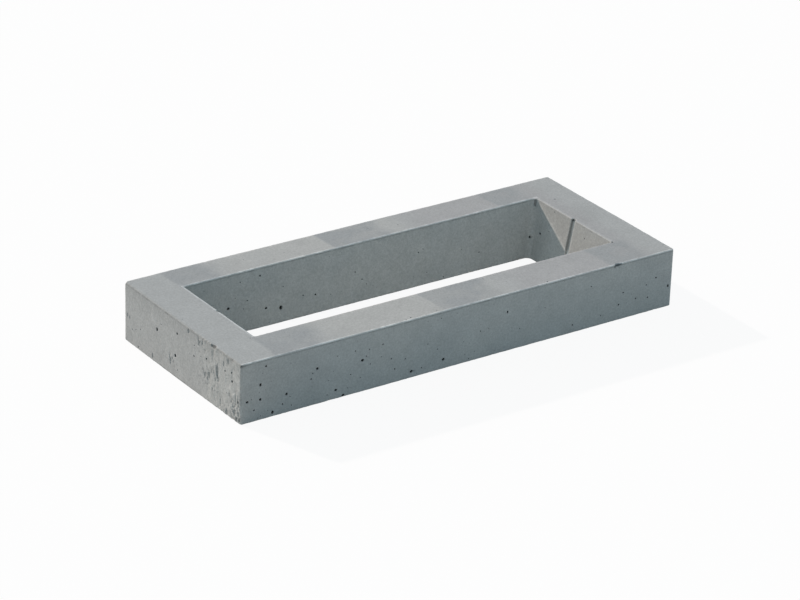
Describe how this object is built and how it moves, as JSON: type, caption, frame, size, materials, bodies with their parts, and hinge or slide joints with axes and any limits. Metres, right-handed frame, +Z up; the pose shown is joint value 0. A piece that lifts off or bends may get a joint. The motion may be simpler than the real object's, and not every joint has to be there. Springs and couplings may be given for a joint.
{
  "type": "concrete fence block",
  "caption": "Flat rectangular frame block of cast concrete with a deep tapered opening, laid in courses to build a fence or garden wall.",
  "frame": {"origin": "middle of the outline on the underside, which is the bed face it lies on", "axes": "+X along the block's long side, +Y from the near long side to the far one, whose wall is the thinner, +Z up through the opening"},
  "size_m": [0.6, 0.25, 0.073],
  "materials": {
    "concrete": "matt cast concrete, grey, with small air holes"
  },
  "bodies": {
    "root": {"frame_block": "concrete"}
  },
  "joints": []
}
